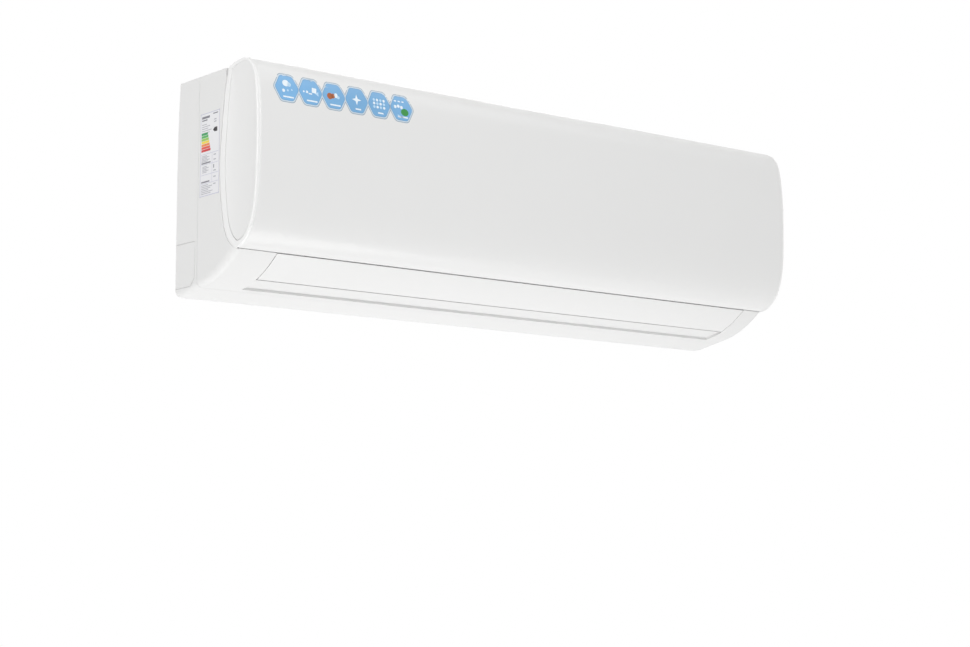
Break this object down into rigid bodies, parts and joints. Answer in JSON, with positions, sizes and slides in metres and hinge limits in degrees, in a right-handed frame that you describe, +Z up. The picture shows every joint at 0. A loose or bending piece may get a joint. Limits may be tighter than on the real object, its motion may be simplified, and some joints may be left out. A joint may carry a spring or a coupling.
{
  "type": "mini split indoor unit",
  "caption": "Wall-mounted mini split indoor unit with a hinged front panel, swing louver and vanes, filters, heat exchanger and cross-flow fan.",
  "frame": {"origin": "centre of the wall plate's four-screw pattern, on the wall's face", "axes": "+X to the viewer's right along the unit, -Y out of the wall towards the viewer, +Z up"},
  "size_m": [0.826, 0.166, 0.252],
  "materials": {
    "white_gloss": "smooth white plastic",
    "white_satin": "white plastic, fine satin",
    "grey_plastic": "grey plastic",
    "black_plastic": "black plastic",
    "blue_filter": "grey-blue plastic frame and net",
    "fan_plastic": "dark grey plastic",
    "galvanised": "galvanised steel sheet",
    "steel": "bright steel",
    "fins": "aluminium fin pack",
    "copper": "copper tube",
    "brass": "brass",
    "rubber": "black rubber",
    "board": "green circuit board"
  },
  "bodies": {
    "casing": {"mounting_plate": "galvanised", "rear_chassis": "white_satin", "pipe_cover_left": "white_satin", "pipe_cover_right": "white_satin", "pipe_holder": "white_satin", "front_frame": "white_satin", "frame_screws": "steel", "screw_caps": "white_satin", "drain_pan": "white_satin", "drain_elbow": "grey_plastic", "coil_front": "fins", "coil_rear": "fins", "coil_plate_left": "galvanised", "coil_plate_right": "galvanised", "coil_bends": "copper", "gas_pipe": "copper", "liquid_pipe": "copper", "gas_union": "brass", "liquid_union": "brass", "fan_bearing": "steel", "bearing_holder": "rubber", "fan_motor": "galvanised", "motor_rings": "rubber", "motor_cover": "white_satin", "control_box": "white_satin", "control_box_cover": "galvanised", "control_board": "board", "board_parts": "black_plastic", "board_screws": "steel", "terminal_block": "white_satin", "cable_clamp": "black_plastic", "display_board": "board", "room_sensor": "black_plastic", "pipe_sensor": "copper", "swing_motor": "steel", "louver_motor": "steel"},
    "panel": {"front_panel": "white_gloss", "panel_cap_left": "white_satin", "panel_cap_right": "white_satin"},
    "louver": {"main_louver": "white_gloss"},
    "fan": {"cross_flow_fan": "fan_plastic", "fan_shafts": "steel"},
    "filter_left": {"filter_left": "blue_filter"},
    "filter_right": {"filter_right": "blue_filter"},
    "button": {"reset_button": "white_satin"},
    "bar": {"tie_bar": "white_satin"},
    "crank": {"swing_crank": "white_satin"},
    "vane_1": {"vane_1": "fan_plastic"},
    "vane_2": {"vane_2": "fan_plastic"},
    "vane_3": {"vane_3": "fan_plastic"},
    "vane_4": {"vane_4": "fan_plastic"},
    "vane_5": {"vane_5": "fan_plastic"},
    "vane_6": {"vane_6": "fan_plastic"},
    "vane_7": {"vane_7": "fan_plastic"},
    "vane_8": {"vane_8": "fan_plastic"},
    "vane_9": {"vane_9": "fan_plastic"},
    "vane_10": {"vane_10": "fan_plastic"},
    "vane_11": {"vane_11": "fan_plastic"},
    "vane_12": {"vane_12": "fan_plastic"}
  },
  "joints": [
    {"name": "panel_hinge", "type": "hinge", "parent": "casing", "child": "panel", "pos_m": [0, -0.106, 0.0925], "axis": [-1, 0, 0], "range_deg": [0, 60]},
    {"name": "louver_pivot", "type": "hinge", "parent": "casing", "child": "louver", "pos_m": [0, -0.092, -0.1225], "axis": [1, 0, 0], "range_deg": [0, 70]},
    {"name": "fan_spin", "type": "hinge", "parent": "casing", "child": "fan", "pos_m": [0, -0.072, -0.054], "axis": [1, 0, 0], "continuous": true},
    {"name": "filter_left_slide", "type": "slide", "parent": "casing", "child": "filter_left", "axis": [0, 0.3234, 0.9463], "range_m": [0, 0.15]},
    {"name": "filter_right_slide", "type": "slide", "parent": "casing", "child": "filter_right", "axis": [0, 0.3234, 0.9463], "range_m": [0, 0.15]},
    {"name": "button_press", "type": "slide", "parent": "casing", "child": "button", "axis": [0, 1, 0], "range_m": [0, 0.001], "stiffness_N_per_m": 1500},
    {"name": "vane_1_pivot", "type": "hinge", "parent": "casing", "child": "vane_1", "pos_m": [-0.3285, -0.0662, -0.12765], "axis": [0, -0.2668, 0.9638], "range_deg": [-35, 35]},
    {"name": "vane_2_pivot", "type": "hinge", "parent": "casing", "child": "vane_2", "pos_m": [-0.2795, -0.0662, -0.12765], "axis": [0, -0.2668, 0.9638], "range_deg": [-35, 35]},
    {"name": "vane_3_pivot", "type": "hinge", "parent": "casing", "child": "vane_3", "pos_m": [-0.2305, -0.0662, -0.12765], "axis": [0, -0.2668, 0.9638], "range_deg": [-35, 35]},
    {"name": "vane_4_pivot", "type": "hinge", "parent": "casing", "child": "vane_4", "pos_m": [-0.1815, -0.0662, -0.12765], "axis": [0, -0.2668, 0.9638], "range_deg": [-35, 35]},
    {"name": "vane_5_pivot", "type": "hinge", "parent": "casing", "child": "vane_5", "pos_m": [-0.1325, -0.0662, -0.12765], "axis": [0, -0.2668, 0.9638], "range_deg": [-35, 35]},
    {"name": "vane_6_pivot", "type": "hinge", "parent": "casing", "child": "vane_6", "pos_m": [-0.0835, -0.0662, -0.12765], "axis": [0, -0.2668, 0.9638], "range_deg": [-35, 35]},
    {"name": "vane_7_pivot", "type": "hinge", "parent": "casing", "child": "vane_7", "pos_m": [-0.0345, -0.0662, -0.12765], "axis": [0, -0.2668, 0.9638], "range_deg": [-35, 35]},
    {"name": "vane_8_pivot", "type": "hinge", "parent": "casing", "child": "vane_8", "pos_m": [0.0145, -0.0662, -0.12765], "axis": [0, -0.2668, 0.9638], "range_deg": [-35, 35]},
    {"name": "vane_9_pivot", "type": "hinge", "parent": "casing", "child": "vane_9", "pos_m": [0.0635, -0.0662, -0.12765], "axis": [0, -0.2668, 0.9638], "range_deg": [-35, 35]},
    {"name": "vane_10_pivot", "type": "hinge", "parent": "casing", "child": "vane_10", "pos_m": [0.1125, -0.0662, -0.12765], "axis": [0, -0.2668, 0.9638], "range_deg": [-35, 35]},
    {"name": "vane_11_pivot", "type": "hinge", "parent": "casing", "child": "vane_11", "pos_m": [0.1615, -0.0662, -0.12765], "axis": [0, -0.2668, 0.9638], "range_deg": [-35, 35]},
    {"name": "vane_12_pivot", "type": "hinge", "parent": "casing", "child": "vane_12", "pos_m": [0.2105, -0.0662, -0.12765], "axis": [0, -0.2668, 0.9638], "range_deg": [-35, 35]},
    {"name": "bar_slide", "type": "slide", "parent": "casing", "child": "bar", "axis": [1, 0, 0], "range_m": [-0.0043, 0.0043]},
    {"name": "crank_pivot", "type": "hinge", "parent": "casing", "child": "crank", "pos_m": [0.277, -0.05271, -0.12391], "axis": [0, -0.2668, 0.9638], "range_deg": [-35, 35]}
  ],
  "couplings": [
    {"joint": "vane_2_pivot", "follows": "vane_1_pivot", "ratio": 1},
    {"joint": "vane_3_pivot", "follows": "vane_1_pivot", "ratio": 1},
    {"joint": "vane_4_pivot", "follows": "vane_1_pivot", "ratio": 1},
    {"joint": "vane_5_pivot", "follows": "vane_1_pivot", "ratio": 1},
    {"joint": "vane_6_pivot", "follows": "vane_1_pivot", "ratio": 1},
    {"joint": "vane_7_pivot", "follows": "vane_1_pivot", "ratio": 1},
    {"joint": "vane_8_pivot", "follows": "vane_1_pivot", "ratio": 1},
    {"joint": "vane_9_pivot", "follows": "vane_1_pivot", "ratio": 1},
    {"joint": "vane_10_pivot", "follows": "vane_1_pivot", "ratio": 1},
    {"joint": "vane_11_pivot", "follows": "vane_1_pivot", "ratio": 1},
    {"joint": "vane_12_pivot", "follows": "vane_1_pivot", "ratio": 1},
    {"joint": "bar_slide", "follows": "vane_1_pivot", "m_per_rad": -0.007},
    {"joint": "crank_pivot", "follows": "vane_1_pivot", "ratio": -1}
  ]
}
